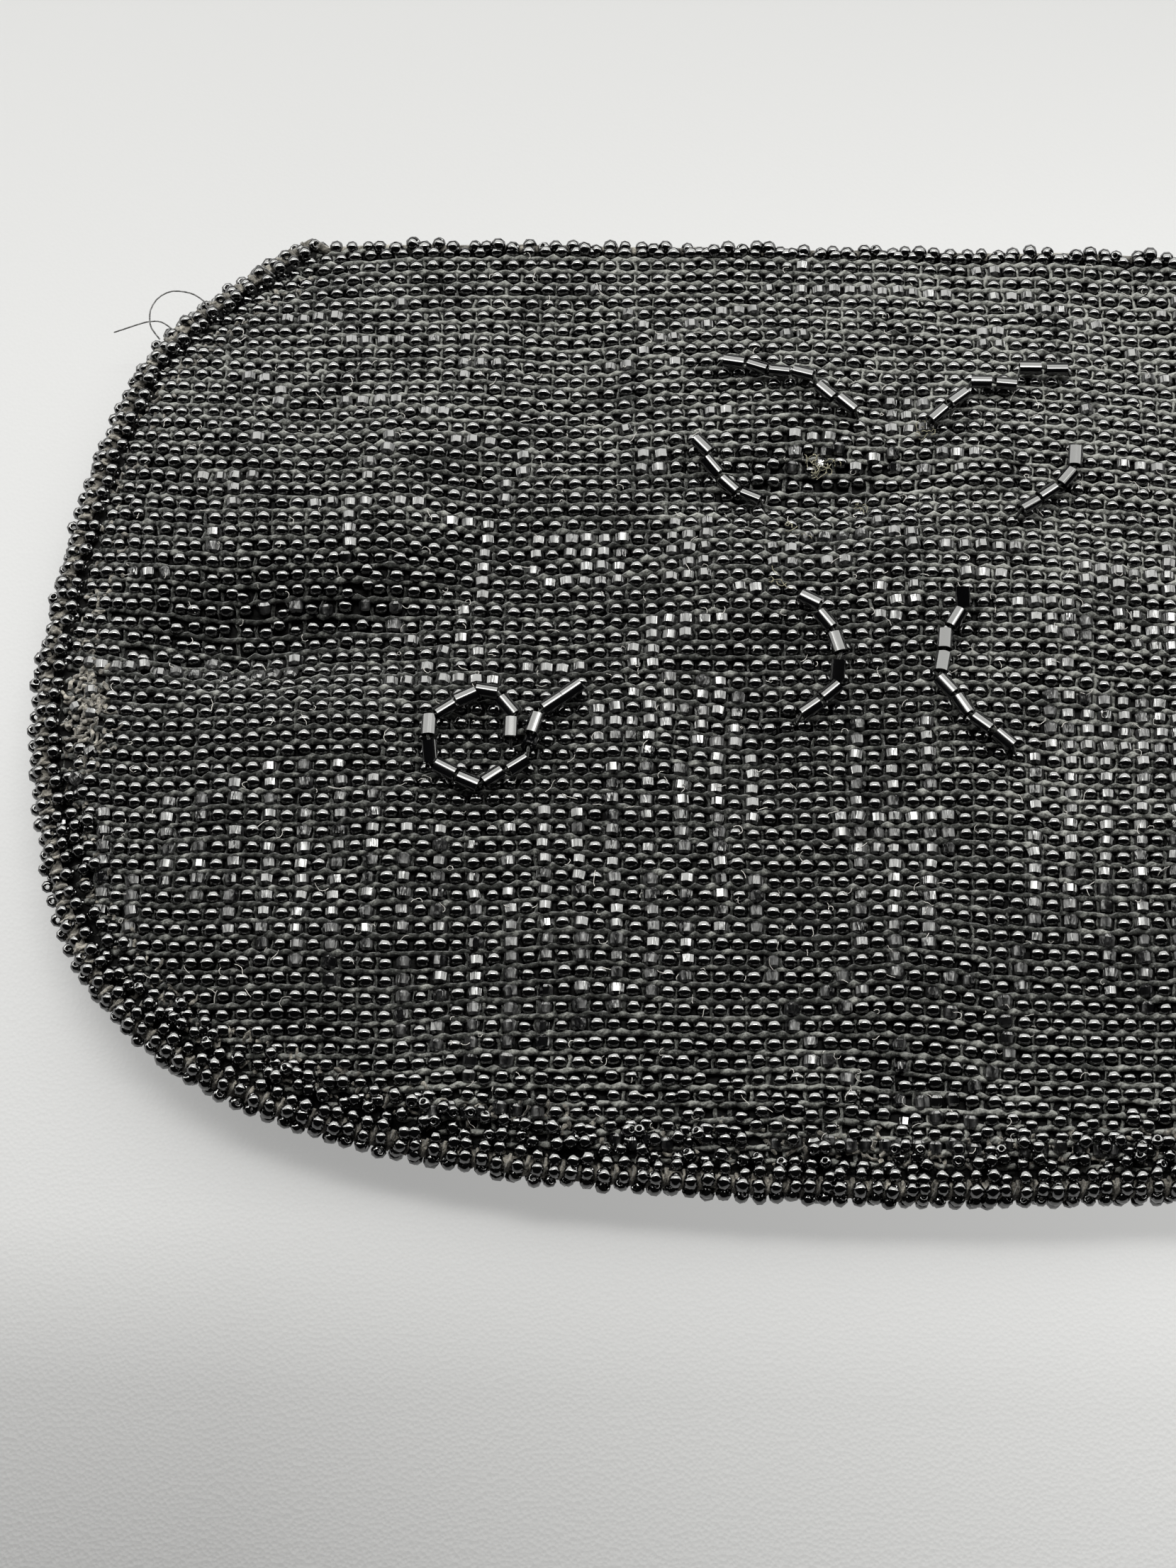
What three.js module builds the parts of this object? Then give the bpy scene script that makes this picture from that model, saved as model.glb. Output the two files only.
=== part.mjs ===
// A black beaded evening purse, lying on its back.
// Two bead-crocheted cloth panels make a hollow pouch: bead loops are whipped over their seam at the sides
// and the base, and the mouth along the +Y side is open, with a string of beads on each lip.
// Eight strings of bugle beads are sewn on the front as a flower with two scrolls.
// Millimetres, +Z up, +Y towards the mouth. The origin is on the surface, under the middle of the purse.
import * as THREE from 'three';

// Driving dimensions of the pouch
const SEAM_HEIGHT = 6.5;          // the seam above the surface
const FRONT_CROWN = 10;           // the front's rise above the seam
const BACK_BELLY = 9;             // the back's drop below the seam, before the surface stops it
const WALL = 2.4;                 // cloth with its beads
const GAP = 0.3;                  // between neighbouring pieces
const MOUTH_BOW = 0.2;            // how far the mouth line bows out in the middle
const MOUTH_SHARE = 0.46;         // the front's rise at the mouth, as a share of the crown
const CORNER_SHARE = 0.57;        // of the half outline, from the mouth down to the lower corner
const FLATNESS = 5;               // how square the swell of a panel is
const EDGE_ROUNDNESS = 0.6;       // how steeply a panel rises from the seam

// Driving dimensions of the beading
const EDGE_DEPTH = 2.2;           // edge loops, out from the seam
const EDGE_HALF_HEIGHT = 2.6;     // edge loops, above and below the seam
const RIM_BEAD_RADIUS = 0.95;
const BUGLE_LENGTH = 2.7;
const BUGLE_RADIUS = 0.7;
const THREAD_RADIUS = 0.3;
const BUGLE_SIDES = 10;

// Cells in the panels' nets
const FRONT_NET = { across: 32, up: 22 };
const BACK_NET = { across: 28, up: 16 };

// Half of the seam line, from the end of the mouth round to the middle of the base
const SEAM_LINE = [
  { x: 76.5, y: 65.6 },
  { x: 86.3, y: 59.3 },
  { x: 96.6, y: 50.0 },
  { x: 102.3, y: 35.9 },
  { x: 105.7, y: 20.4 },
  { x: 108.3, y: -0.6 },
  { x: 106.4, y: -19.6 },
  { x: 101.0, y: -36.6 },
  { x: 91.0, y: -48.2 },
  { x: 74.0, y: -57.0 },
  { x: 49.0, y: -62.8 },
  { x: 24.0, y: -64.8 },
  { x: 0.0, y: -65.5 },
];

// Hollows of the front: middle, reach along x and y, depth, turn from the x axis in degrees
const HOLLOWS = [
  { name: 'left fold', x: -84, y: 6, along: 27, wide: 7.5, depth: 2.6, turn: -4 },
  { name: 'left fold, far end', x: -52, y: 13, along: 18, wide: 7, depth: 1.3, turn: 14 },
  { name: 'under the petals', x: -8, y: 27, along: 20, wide: 6.5, depth: 2.0, turn: 0 },
  { name: 'right of the petals', x: 48, y: 20, along: 24, wide: 9, depth: 1.0, turn: -10 },
  { name: 'above the base', x: 18, y: -52, along: 26, wide: 6, depth: 0.9, turn: 0 },
];

// Strings of bugles: how many on each, the four points of its bend, and how far they sit off it by turns
const STRINGS = [
  {
    name: 'petal_upper_left', count: 6, stagger: -0.25,
    bend: [[-22.1, 45.5], [-15.6, 43.4], [-8.7, 44.5], [-4.9, 37.0]],
  },
  {
    name: 'petal_upper_right', count: 6, stagger: 0.5,
    bend: [[5.1, 35.9], [9.7, 42.9], [16.8, 43.8], [23.6, 45.5]],
  },
  {
    name: 'petal_side_left', count: 4, stagger: 0.1,
    bend: [[-25.3, 34.1], [-24.2, 29.0], [-21.3, 25.6], [-16.6, 23.8]],
  },
  {
    name: 'petal_side_right', count: 4, stagger: 0.1,
    bend: [[24.4, 33.1], [23.7, 28.4], [20.9, 25.1], [16.0, 23.4]],
  },
  {
    name: 'stem_left', count: 6, stagger: 0.1,
    bend: [[-12.1, 10.0], [-6.5, 6.9], [-4.5, -4.1], [-12.2, -6.9]],
  },
  {
    name: 'stem_right', count: 8, stagger: -0.2,
    bend: [[9.8, 11.9], [3.9, 3.9], [4.7, -6.5], [15.2, -10.8]],
  },
];

// A scroll: a nearly closed ring of bugles, and a tail that leaves it towards the middle of the purse
const SCROLL = {
  ring: { x: -52.8, y: -10.9, radius: 5.95, from: 18, turn: 308, count: 11 },
  tail: { count: 4, stagger: 0, bend: [[-46.6, -13.6], [-46.2, -8.7], [-43.7, -5.3], [-39.2, -3.4]] },
};

const glassBlack = new THREE.MeshStandardMaterial({ color: 0x0b0c0e, roughness: 0.12, metalness: 0 });
const clothBlack = new THREE.MeshStandardMaterial({ color: 0x1c1d1e, roughness: 0.7, metalness: 0 });

// A closed surface from rows of points: neighbouring rows are joined, and the two ends are closed
function solidFromRings(rings) {
  const count = rings[0].length;
  const points = rings.flat();
  const faces = [];
  for (let r = 0; r + 1 < rings.length; r += 1) {
    for (let i = 0; i < count; i += 1) {
      const a = r * count + i;
      const b = r * count + ((i + 1) % count);
      faces.push(a, b, b + count);
      faces.push(a, b + count, a + count);
    }
  }
  const last = (rings.length - 1) * count;
  for (let i = 1; i + 1 < count; i += 1) {
    faces.push(0, i + 1, i);
    faces.push(last, last + i, last + i + 1);
  }
  return geometryOf(points, faces);
}

function geometryOf(points, faces) {
  const geometry = new THREE.BufferGeometry();
  geometry.setFromPoints(points);
  geometry.setIndex(faces);
  geometry.computeVertexNormals();
  return geometry;
}

// The seam line, moved inwards by a distance
function seamCurve(inset) {
  const line = new THREE.SplineCurve(SEAM_LINE.map((p) => new THREE.Vector2(p.x, p.y)));
  const last = SEAM_LINE.length - 1;
  const moved = SEAM_LINE.map((p, i) => {
    const along = line.getTangent(i / last);
    const out = i === 0 ? new THREE.Vector2(1.25, 0) : new THREE.Vector2(-along.y, along.x);
    if (i === last) {
      out.set(0, -1);
    }
    return new THREE.Vector2(p.x - out.x * inset, p.y - out.y * inset);
  });
  return new THREE.SplineCurve(moved);
}

// A point of the panel's plan: s runs from -1 at the left seam to 1 at the right one, v from base to mouth
function planPoint(seam, s, v) {
  const a = Math.abs(s);
  const corner = seam.getPointAt(CORNER_SHARE);
  const end = seam.getPointAt(0);
  const base = seam.getPointAt(CORNER_SHARE + (1 - CORNER_SHARE) * (1 - a));
  const side = seam.getPointAt(CORNER_SHARE * (1 - v));
  const mouth = new THREE.Vector2(end.x * a, end.y + MOUTH_BOW * (1 - a * a));
  const blend = (key) =>
    (1 - v) * base[key] + v * mouth[key] + a * (side[key] - (1 - v) * corner[key] - v * end[key]);
  return new THREE.Vector2(Math.sign(s) * blend('x'), blend('y'));
}

// The swell of a panel: 0 on the seam, 1 over the middle, with the given share left at the mouth
function swell(s, v, mouthShare) {
  const across = Math.max(0, 1 - Math.abs(s) ** FLATNESS) ** EDGE_ROUNDNESS;
  const up = Math.max(0, 1 - (1 - v) ** FLATNESS) ** EDGE_ROUNDNESS;
  const near = THREE.MathUtils.smoothstep(v, 0.55, 1);
  return across * up * (1 - (1 - mouthShare) * near);
}

// How much of the wall lies below a point of the outside: the wall thins to nothing on the seam's inner line
function wallShare(amount) {
  const low = Math.min(1, amount / 0.58);
  return 1 - (1 - low) ** 2;
}

function hollowAt(x, y) {
  let depth = 0;
  for (const h of HOLLOWS) {
    const turn = THREE.MathUtils.degToRad(h.turn);
    const dx = (x - h.x) * Math.cos(turn) + (y - h.y) * Math.sin(turn);
    const dy = (y - h.y) * Math.cos(turn) - (x - h.x) * Math.sin(turn);
    depth += h.depth * Math.exp(-((dx / h.along) ** 2) - (dy / h.wide) ** 2);
  }
  return depth;
}

// One panel: an outside net and an inside net, joined round their edges
function panel(net, heightAt, facesUp) {
  const outerSeam = seamCurve(0);
  const innerSeam = seamCurve(WALL);
  const points = [];
  for (const inside of [false, true]) {
    for (let j = 0; j <= net.up; j += 1) {
      for (let i = 0; i <= net.across; i += 1) {
        const s = (2 * i) / net.across - 1;
        const v = j / net.up;
        const p = planPoint(inside ? innerSeam : outerSeam, s, v);
        points.push(new THREE.Vector3(p.x, p.y, heightAt(p, s, v, inside)));
      }
    }
  }
  const row = net.across + 1;
  const sheet = row * (net.up + 1);
  const faces = [];
  const quad = (a, b, c, d) => faces.push(a, b, c, a, c, d);
  for (let j = 0; j < net.up; j += 1) {
    for (let i = 0; i < net.across; i += 1) {
      const a = j * row + i;
      quad(a, a + 1, a + row + 1, a + row);
      quad(sheet + a, sheet + a + row, sheet + a + row + 1, sheet + a + 1);
    }
  }
  const edge = [];
  for (let i = 0; i < net.across; i += 1) {
    edge.push(i);
  }
  for (let j = 0; j < net.up; j += 1) {
    edge.push(j * row + net.across);
  }
  for (let i = net.across; i > 0; i -= 1) {
    edge.push(net.up * row + i);
  }
  for (let j = net.up; j > 0; j -= 1) {
    edge.push(j * row);
  }
  edge.forEach((a, k) => {
    const b = edge[(k + 1) % edge.length];
    quad(a, sheet + a, sheet + b, b);
  });
  if (!facesUp) {
    for (let k = 0; k < faces.length; k += 3) {
      [faces[k + 1], faces[k + 2]] = [faces[k + 2], faces[k + 1]];
    }
  }
  return geometryOf(points, faces);
}

function frontHeight(p, s, v, inside) {
  const amount = swell(s, v, MOUTH_SHARE);
  const outside = FRONT_CROWN * amount - hollowAt(p.x, p.y) * Math.min(1, amount * 1.4);
  return SEAM_HEIGHT + GAP / 2 + Math.max(0, outside - (inside ? WALL * wallShare(amount) : 0));
}

function backHeight(p, s, v, inside) {
  const amount = swell(s, v, 0.85);
  const seam = SEAM_HEIGHT - GAP / 2;
  const outside = Math.min(seam, BACK_BELLY * amount);
  return seam - Math.max(0, outside - (inside ? WALL * wallShare(amount) : 0));
}

// The bundle of bead loops over the seam: a half-round strip that follows the seam line outside the panels
function edgeBeading() {
  const seam = seamCurve(0);
  const STEPS = 72;
  const ROUND = 8;
  const rings = [];
  for (let k = 0; k <= STEPS; k += 1) {
    const t = (2 * k) / STEPS;
    const share = t <= 1 ? t : 2 - t;
    const hand = t <= 1 ? -1 : 1;
    const p = seam.getPointAt(share);
    const along = seam.getTangentAt(share);
    const out = share === 1 ? new THREE.Vector2(0, -1) : new THREE.Vector2(-along.y, along.x);
    const ring = [];
    for (let i = 0; i <= ROUND; i += 1) {
      const angle = -Math.PI / 2 + (Math.PI * i) / ROUND;
      const reach = GAP + EDGE_DEPTH * Math.cos(angle);
      const up = EDGE_HALF_HEIGHT * Math.sin(angle);
      ring.push(new THREE.Vector3(hand * (p.x + out.x * reach), p.y + out.y * reach, SEAM_HEIGHT + up));
    }
    rings.push(ring.reverse());
  }
  return solidFromRings(rings);
}

// A string of round beads along a lip of the mouth, as a tube that lies just past the cloth
function rimBeads(heightAt, sign) {
  const seam = seamCurve(0);
  const path = [];
  const END = 0.955;
  for (let k = 0; k <= 30; k += 1) {
    const s = END * ((2 * k) / 30 - 1);
    const p = planPoint(seam, s, 1);
    const z = heightAt(p, s, 1, false) - sign * Math.max(RIM_BEAD_RADIUS + GAP, WALL / 2) * wallShare(1 - s ** 8);
    path.push(new THREE.Vector3(p.x, p.y + GAP + RIM_BEAD_RADIUS, z + sign * 0.4 * s ** 8));
  }
  const corners = [];
  for (let i = 0; i < 8; i += 1) {
    const angle = (Math.PI * (i + 0.5)) / 4;
    corners.push(new THREE.Vector2(Math.cos(angle), Math.sin(angle)).multiplyScalar(RIM_BEAD_RADIUS));
  }
  const round = new THREE.Shape(corners);
  const along = new THREE.CatmullRomCurve3(path);
  return new THREE.ExtrudeGeometry(round, { steps: 36, extrudePath: along });
}

// Bugles threaded end to end along a path on the front: tubes with the bare thread between them
function bugleString(places, front) {
  const down = new THREE.Vector3(0, 0, -1);
  const caster = new THREE.Raycaster();
  const heightOf = (p) => {
    caster.set(new THREE.Vector3(p.x, p.y, 100), down);
    return caster.intersectObject(front)[0].point.z;
  };
  const bars = places.map(({ middle, along }) => {
    const ends = [-0.5, 0, 0.5].map((k) => middle.clone().addScaledVector(along, k * BUGLE_LENGTH));
    const lift = BUGLE_RADIUS + GAP + 0.12;
    const heights = ends.map((p) => heightOf(p) + lift);
    const sag = Math.max(0, heights[1] - (heights[0] + heights[2]) / 2);
    const first = new THREE.Vector3(ends[0].x, ends[0].y, heights[0] + sag);
    const last = new THREE.Vector3(ends[2].x, ends[2].y, heights[2] + sag);
    return { first, last };
  });
  const rings = [];
  const ringAt = (centre, side, radius) => {
    const ring = [];
    for (let i = 0; i < BUGLE_SIDES; i += 1) {
      const angle = (2 * Math.PI * i) / BUGLE_SIDES;
      const p = centre.clone().addScaledVector(side, radius * Math.cos(angle));
      p.z += radius * Math.sin(angle);
      ring.push(p);
    }
    rings.push(ring);
  };
  bars.forEach(({ first, last }, n) => {
    const run = last.clone().sub(first);
    const side = new THREE.Vector3(-run.y, run.x, 0).normalize();
    if (n > 0) {
      const before = bars[n - 1].last;
      const between = before.clone().add(first).multiplyScalar(0.5);
      const turn = bars[n - 1].last.clone().sub(bars[n - 1].first);
      const bisector = side.clone().add(new THREE.Vector3(-turn.y, turn.x, 0).normalize()).normalize();
      ringAt(between, bisector, THREAD_RADIUS);
    }
    ringAt(first, side, BUGLE_RADIUS);
    ringAt(last, side, BUGLE_RADIUS);
  });
  return solidFromRings(rings);
}

// Evenly spaced places on a bent path, by turns a little to its left and right
function placesOnBend({ count, stagger, bend }) {
  const path = new THREE.CubicBezierCurve(...bend.map(([x, y]) => new THREE.Vector2(x, y)));
  const places = [];
  for (let n = 0; n < count; n += 1) {
    const at = (n + 0.5) / count;
    const along = path.getTangentAt(at);
    const off = n % 2 === 0 ? stagger : -stagger;
    const middle = path.getPointAt(at).add(new THREE.Vector2(-along.y, along.x).multiplyScalar(off));
    places.push({ middle, along });
  }
  return places;
}

// Places round a scroll's ring and then up its tail, mirrored for the right one
function placesOnScroll(hand) {
  const { ring, tail } = SCROLL;
  const places = [];
  for (let n = 0; n < ring.count; n += 1) {
    const angle = THREE.MathUtils.degToRad(ring.from + (ring.turn * n) / (ring.count - 1));
    const middle = new THREE.Vector2(Math.cos(angle), Math.sin(angle)).multiplyScalar(ring.radius);
    middle.add(new THREE.Vector2(ring.x, ring.y));
    places.push({ middle, along: new THREE.Vector2(-Math.sin(angle), Math.cos(angle)) });
  }
  places.push(...placesOnBend(tail));
  return places.map(({ middle, along }) => ({
    middle: new THREE.Vector2(-hand * middle.x, middle.y),
    along: new THREE.Vector2(-hand * along.x, along.y),
  }));
}

const purse = new THREE.Group();
purse.name = 'beaded_purse';

function add(name, geometry, material) {
  const mesh = new THREE.Mesh(geometry, material);
  mesh.name = name;
  purse.add(mesh);
  return mesh;
}

add('back_panel', panel(BACK_NET, backHeight, false), clothBlack);
const front = add('front_panel', panel(FRONT_NET, frontHeight, true), clothBlack);
front.updateMatrixWorld(true);
add('edge_beading', edgeBeading(), glassBlack);
add('rim_beads_back', rimBeads(backHeight, -1), glassBlack);
add('rim_beads_front', rimBeads(frontHeight, 1), glassBlack);
for (const string of STRINGS) {
  add(string.name, bugleString(placesOnBend(string), front), glassBlack);
}
add('curl_left', bugleString(placesOnScroll(-1), front), glassBlack);
add('curl_right', bugleString(placesOnScroll(1), front), glassBlack);

// The purse is set over the origin
const box = new THREE.Box3().setFromObject(purse);
purse.position.set(-(box.min.x + box.max.x) / 2, -(box.min.y + box.max.y) / 2, -box.min.z);

export default purse;
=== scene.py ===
import math

import bpy
import numpy as np
from mathutils import Matrix, Vector
from mathutils.bvhtree import BVHTree


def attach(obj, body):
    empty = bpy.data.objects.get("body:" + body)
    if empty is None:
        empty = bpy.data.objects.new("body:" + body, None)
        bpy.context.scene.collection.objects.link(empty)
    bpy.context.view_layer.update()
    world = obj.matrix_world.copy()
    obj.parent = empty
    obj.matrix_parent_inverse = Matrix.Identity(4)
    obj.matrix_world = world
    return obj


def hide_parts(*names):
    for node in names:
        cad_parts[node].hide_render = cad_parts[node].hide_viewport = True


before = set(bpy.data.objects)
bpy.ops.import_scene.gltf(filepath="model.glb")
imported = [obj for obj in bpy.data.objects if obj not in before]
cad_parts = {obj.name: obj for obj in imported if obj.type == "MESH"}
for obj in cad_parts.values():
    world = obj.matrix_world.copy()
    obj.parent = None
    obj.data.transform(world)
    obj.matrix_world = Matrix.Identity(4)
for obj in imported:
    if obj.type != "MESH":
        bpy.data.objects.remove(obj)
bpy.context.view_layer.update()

# Table, light and view
# The purse lies on its back on a white satin table with a fine pebble grain, before a white wall with a
# long lamp over the mouth; both are mirrored in the beads. The view is steep, from the base side, and it
# cuts off the right third.
LOOK_AT, DISTANCE = Vector((-0.0386, -0.0133, 0.0080)), 0.444
ELEVATION, YAW = math.radians(66), math.radians(1.2)
LENS, SENSOR = 80.1, 36
TABLE_REACH, TABLE_LEVEL = 0.9, -0.0002
LAMP_COLOUR = (1.0, 1.0, 0.965)
LAMPS = [  # name, place, the spot it faces, width, depth, power
    ("rear_wall", (-0.04, 0.62, 0.71), (-0.04, 0.0, 0.71), 7.0, 0.98, 99.0),
    ("pale_ceiling", (-0.04, 0.42, 1.20), (-0.04, 0.0, 0.0), 3.4, 0.42, 17.0),
    ("long_lamp", (-0.04, 0.38, 1.09), (-0.04, 0.0, 0.0), 1.1, 0.24, 11.0),
]
# The table's glow is painted light: an emission that lifts the purse's shadow and stands in for fill light,
# brightest towards the table's far side.
PAINTED_GLOW = [  # share of the way from the table's near side to its far side, how brightly it shines there
    (0.0, 0.05), (0.13, 0.08), (0.22, 0.15), (0.3, 0.34), (0.55, 0.44), (0.75, 0.40), (1.0, 0.32),
]

scene = bpy.context.scene
back = Vector((
    math.sin(YAW) * math.cos(ELEVATION),
    -math.cos(YAW) * math.cos(ELEVATION),
    math.sin(ELEVATION),
))
right = Vector((0, 0, 1)).cross(back).normalized()
turn = Matrix((right, back.cross(right), back)).transposed()
camera = bpy.data.objects.new("camera", bpy.data.cameras.new("camera"))
camera.data.lens = LENS
camera.data.sensor_width = SENSOR
camera.matrix_world = Matrix.Translation(LOOK_AT + back * DISTANCE) @ turn.to_4x4()
scene.collection.objects.link(camera)
scene.camera = camera
scene.view_settings.view_transform = "Standard"

for name, spot, aim, wide, deep, power in LAMPS:
    light = bpy.data.lights.new(name, "AREA")
    light.shape = "RECTANGLE"
    light.size = wide
    light.size_y = deep
    light.energy = power
    light.color = LAMP_COLOUR
    lamp = bpy.data.objects.new(name, light)
    lamp.location = spot
    lamp.rotation_euler = (Vector(aim) - Vector(spot)).to_track_quat("-Z", "Y").to_euler()
    scene.collection.objects.link(lamp)

room = bpy.data.worlds.new("room")
room.use_nodes = True
room.node_tree.nodes["Background"].inputs["Color"].default_value = (0.015, 0.015, 0.015, 1)
scene.world = room


def connect(tree, target, *numbered, **named):
    """Sets or links the inputs of a node: the first ones in their order, the others by name."""
    for key, value in [*enumerate(numbered), *named.items()]:
        socket = target.inputs[key if isinstance(key, int) else key.replace("_", " ")]
        if isinstance(value, bpy.types.NodeSocket):
            tree.links.new(value, socket)
        else:
            socket.default_value = value
    return target


def node(tree, kind, *numbered, operation=None, **named):
    """A new node of a tree, with its inputs set or linked."""
    made = tree.nodes.new(kind)
    if operation:
        made.operation = operation
    return connect(tree, made, *numbered, **named)


def new_material(name, **inputs):
    """A material with its node tree, its shader and the coordinates of the piece that wears it."""
    material = bpy.data.materials.new(name)
    material.use_nodes = True
    tree = material.node_tree
    shader = connect(tree, tree.nodes["Principled BSDF"], **inputs)
    return material, tree, shader, node(tree, "ShaderNodeTexCoord").outputs["Object"]


def shades(tree, value, stops):
    """The colours that a value runs through, from stops of (value, colour)."""
    ramp = node(tree, "ShaderNodeValToRGB", value)
    elements = ramp.color_ramp.elements
    for element, (share, colour) in zip(elements, (stops[0], stops[-1])):
        element.position = share
        element.color = (*colour, 1)
    for share, colour in stops[1:-1]:
        elements.new(share).color = (*colour, 1)
    return ramp.outputs["Color"]


def relief(tree, shader, height, strength, depth):
    """Fine relief on a material."""
    bump = node(tree, "ShaderNodeBump", Height=height, Strength=strength, Distance=depth)
    connect(tree, shader, Normal=bump.outputs["Normal"])


white_satin, tree, shader, place = new_material(
    "white_satin", Base_Color=(0.145, 0.145, 0.147, 1), Roughness=0.6, Specular_IOR_Level=0.25,
    Emission_Color=(1.0, 1.0, 0.985, 1),
)
# Painted light: the table glows, more towards its far side and, on its near side, more to the right.
apart = node(tree, "ShaderNodeSeparateXYZ", place).outputs
away = node(tree, "ShaderNodeMapRange", Value=apart["Y"], From_Min=-0.15, From_Max=0.12).outputs["Result"]
near = node(tree, "ShaderNodeMath", 1, away, operation="SUBTRACT").outputs["Value"]
painted_glow = shades(tree, away, [(share, (bright, bright, bright)) for share, bright in PAINTED_GLOW])
painted_glow_rightwards = node(tree, "ShaderNodeMapRange", Value=apart["X"], From_Min=-0.08, From_Max=0.04, To_Max=0.25)
shine = node(tree, "ShaderNodeMath", painted_glow_rightwards.outputs["Result"], near, painted_glow, operation="MULTIPLY_ADD")
connect(tree, shader, Emission_Strength=shine.outputs["Value"])
pebbles = node(tree, "ShaderNodeTexVoronoi", Vector=place, Scale=1900)
grain = node(tree, "ShaderNodeMath", pebbles.outputs["Distance"], near, operation="MULTIPLY")
relief(tree, shader, grain.outputs["Value"], 0.24, 0.0003)

corners = [(x * TABLE_REACH, y * TABLE_REACH, TABLE_LEVEL) for x, y in ((-1, -1), (1, -1), (1, 1), (-1, 1))]
table_top = bpy.data.meshes.new("table_top")
table_top.from_pydata(corners, [], [(0, 1, 2, 3)])
table_top.materials.append(white_satin)
table = bpy.data.objects.new("table_top", table_top)
scene.collection.objects.link(table)

# Front cloth
# The upper wall of the pouch: close black bead-crochet in cotton, domed over the empty inside, with a long
# fold at the left and a hollow under the petals. It is the ground that the beads and yarn rows stand on.
MM = 0.001
SEAM_LINE = [
    (77.4, 67.1), (86.3, 60.0), (96.6, 50.0), (102.3, 35.9), (105.7, 20.4), (108.3, -0.6), (106.4, -19.6),
    (101.0, -36.6), (91.0, -48.2), (74.0, -57.0), (49.0, -62.8), (24.0, -64.8), (0.0, -65.5),
]
SEAM_HEIGHT, SEAM_GAP, FRONT_CROWN = 6.5, 0.3, 10.0
CORNER_SHARE, MOUTH_BOW, BOW_FLATNESS, MOUTH_SHARE = 0.57, -1.3, 6, 0.46
FLATNESS, EDGE_ROUNDNESS, LIP_START, LIP_SPAN = 5, 0.6, 0.55, 0.45
FRONT_DEPTH, CLOTH_THICKNESS = 1.45, 1.1
HOLLOWS = [  # x, y, half length, half width, depth, turn in degrees
    (-84, 6, 27, 7.5, 2.6, -4), (-52, 13, 18, 7, 1.3, 14), (-8, 27, 20, 6.5, 2.0, 0),
    (48, 20, 24, 9, 1.0, -10), (18, -52, 26, 6, 0.9, 0),
]
CREASES = [  # the same, for the small folds in the hollows
    (-84, 2, 17, 3.4, 1.0, -4), (-74, 6, 12, 3.4, 0.8, 6), (-95, -4, 8, 3.2, 0.6, -12),
    (-62, 9, 10, 3.4, 0.6, 14), (-80, 2, 24, 9, 1.5, 0), (-5, 27, 17, 3.6, 1.0, 2), (-60, 4, 12, 3.4, 0.4, 8),
]
HOLLOW_FADE = 1.4

knots = np.array(SEAM_LINE)
knots = np.vstack([knots[:1], knots, knots[-1:]])
seam_line = []
for p0, p1, p2, p3 in zip(knots, knots[1:], knots[2:], knots[3:]):
    t = np.linspace(0, 1, 40, endpoint=False)[:, None]
    a, b = (p2 - p0) / 2, (p3 - p1) / 2
    seam_line.append((2 * p1 - 2 * p2 + a + b) * t**3 + (3 * p2 - 3 * p1 - 2 * a - b) * t**2 + a * t + p1)
seam_line = np.vstack(seam_line + [knots[-1:]])
seam_run = np.concatenate([[0], np.cumsum(np.linalg.norm(np.diff(seam_line, axis=0), axis=1))])
seam_length = seam_run[-1]


def seam_at(share):
    """A point of the right half of the seam, by its share of the way from the mouth to the base's middle."""
    run = np.asarray(share) * seam_length
    return np.stack([np.interp(run, seam_run, seam_line[:, k]) for k in (0, 1)], -1)


def plan_point(s, v):
    """x and y of the panel: s runs from the left side to the right, v from the base up to the mouth."""
    a = np.abs(s)
    corner, end = seam_at(CORNER_SHARE), seam_at(0.0)
    base = seam_at(CORNER_SHARE + (1 - CORNER_SHARE) * (1 - a))
    side = seam_at(CORNER_SHARE * (1 - v))
    mouth = np.stack([end[0] * a, end[1] + MOUTH_BOW * (1 - a**BOW_FLATNESS)], -1)
    v, a = v[..., None], a[..., None]
    xy = (1 - v) * base + v * mouth + a * (side - (1 - v) * corner - v * end)
    xy[..., 0] *= np.where(s < 0, -1, 1)
    return xy


def swell(s, v, mouth_share):
    """How far the panel stands off the seam, from 0 at the seam to 1."""
    rise = np.clip((v - LIP_START) / LIP_SPAN, 0, 1)
    mouth = 1 - (1 - mouth_share) * rise * rise * (3 - 2 * rise)
    across, up = (1 - np.abs(s) ** FLATNESS), (1 - (1 - v) ** FLATNESS)
    return across**EDGE_ROUNDNESS * up**EDGE_ROUNDNESS * mouth


def front_height(s, v, xy):
    """The front's bead tops: its swell, less the unevenness of the stitches, the hollows and the creases."""
    x, y = xy[..., 0], xy[..., 1]
    lift = swell(s, v, MOUTH_SHARE)
    sunk = 0.34 * np.sin(x / 6.3 + 1.0) * np.sin(y / 5.1) + 0.22 * np.sin(x / 3.7 - y / 8.0)
    for px, py, along, wide, depth, angle in HOLLOWS + CREASES:
        cosine, sine = math.cos(math.radians(angle)), math.sin(math.radians(angle))
        dx, dy = (x - px) * cosine + (y - py) * sine, (y - py) * cosine - (x - px) * sine
        sunk = sunk + depth * np.exp(-((dx / along) ** 2) - (dy / wide) ** 2)
    rise = FRONT_CROWN * lift - sunk * np.minimum(1, HOLLOW_FADE * lift)
    return SEAM_HEIGHT + SEAM_GAP / 2 + np.maximum(0, rise)


def panel_grid(height, across, up):
    """The bead tops of a panel as a grid of points, in mm, and its outward normals."""
    s, v = np.meshgrid(np.linspace(-1, 1, across + 1), np.linspace(0, 1, up + 1))
    xy = plan_point(s, v)
    points = np.dstack([xy, height(s, v, xy)])
    normals = np.cross(np.gradient(points, axis=1), np.gradient(points, axis=0))
    return points, normals / np.maximum(np.linalg.norm(normals, axis=2, keepdims=True), 1e-9)


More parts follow.
